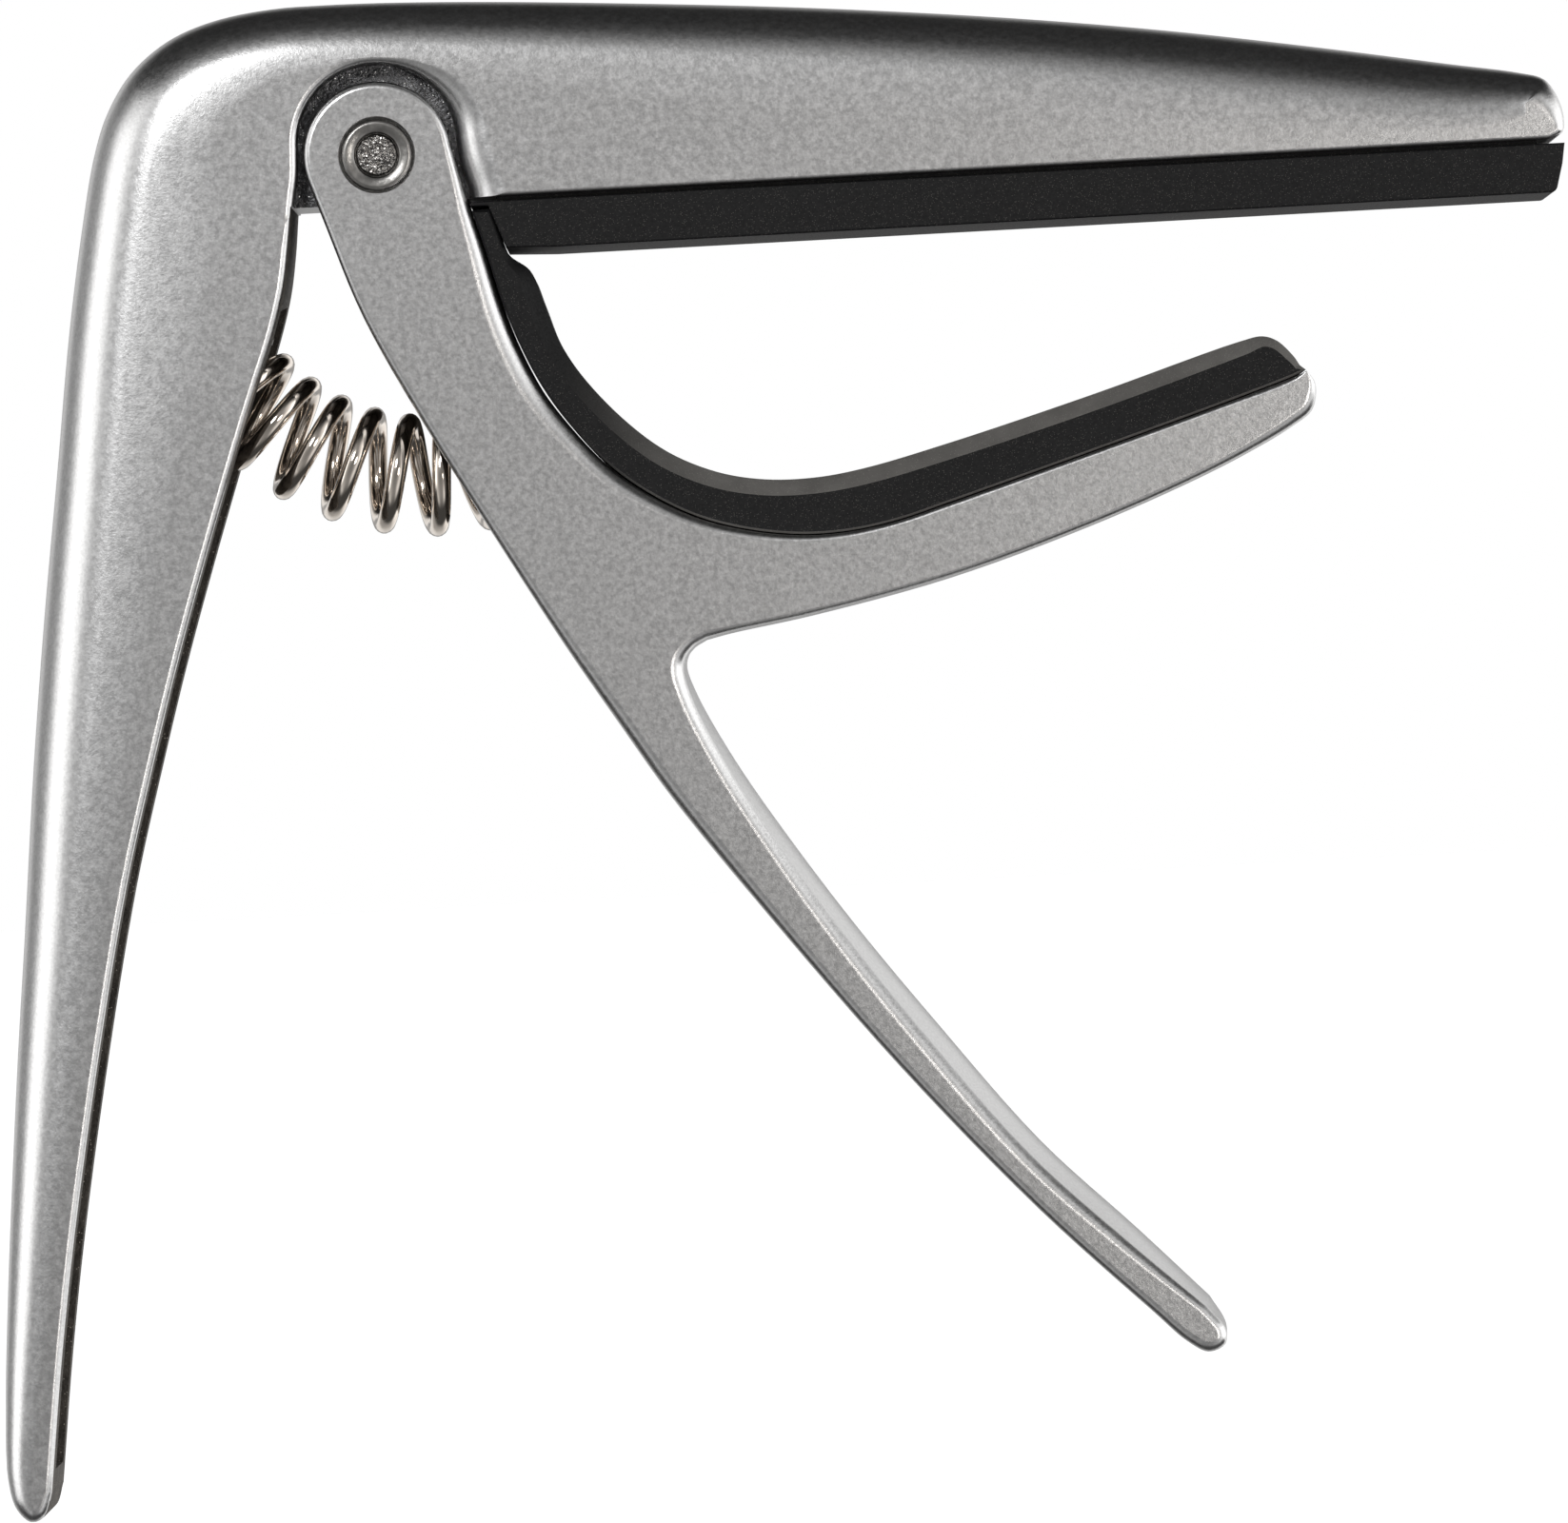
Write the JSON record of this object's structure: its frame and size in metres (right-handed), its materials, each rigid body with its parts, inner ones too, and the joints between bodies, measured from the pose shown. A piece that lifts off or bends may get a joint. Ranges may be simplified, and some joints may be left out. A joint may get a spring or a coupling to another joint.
{
  "type": "guitar capo",
  "caption": "Spring-loaded guitar capo: cast metal arm and squeeze lever on a rivet, rubber fret pad and curved neck pad",
  "frame": {"origin": "middle of the fret pad's flat pressing face", "axes": "-Z is the way the fret pad presses, +X runs along the fret pad towards the beam's free end, +Y is the thickness, along the rivet"},
  "size_m": [0.0894, 0.012, 0.0825],
  "materials": {
    "cast_silver": "satin silver die casting",
    "black_rubber": "matt black silicone rubber",
    "rivet_steel": "plain steel",
    "spring_nickel": "bright nickel plate"
  },
  "bodies": {
    "arm": {"fixed_arm": "cast_silver", "fret_pad": "black_rubber", "pivot_rivet": "rivet_steel", "coil_spring": "spring_nickel"},
    "squeeze_lever": {"lever": "cast_silver", "neck_pad": "black_rubber"}
  },
  "joints": [
    {"name": "lever_hinge", "type": "hinge", "parent": "arm", "child": "squeeze_lever", "pos_m": [-0.036, 0, 0.00555], "axis": [0, 1, 0], "range_deg": [0, 26], "stiffness_Nm_per_rad": 1, "springref_deg": -28.65, "deforming": ["coil_spring"]}
  ]
}
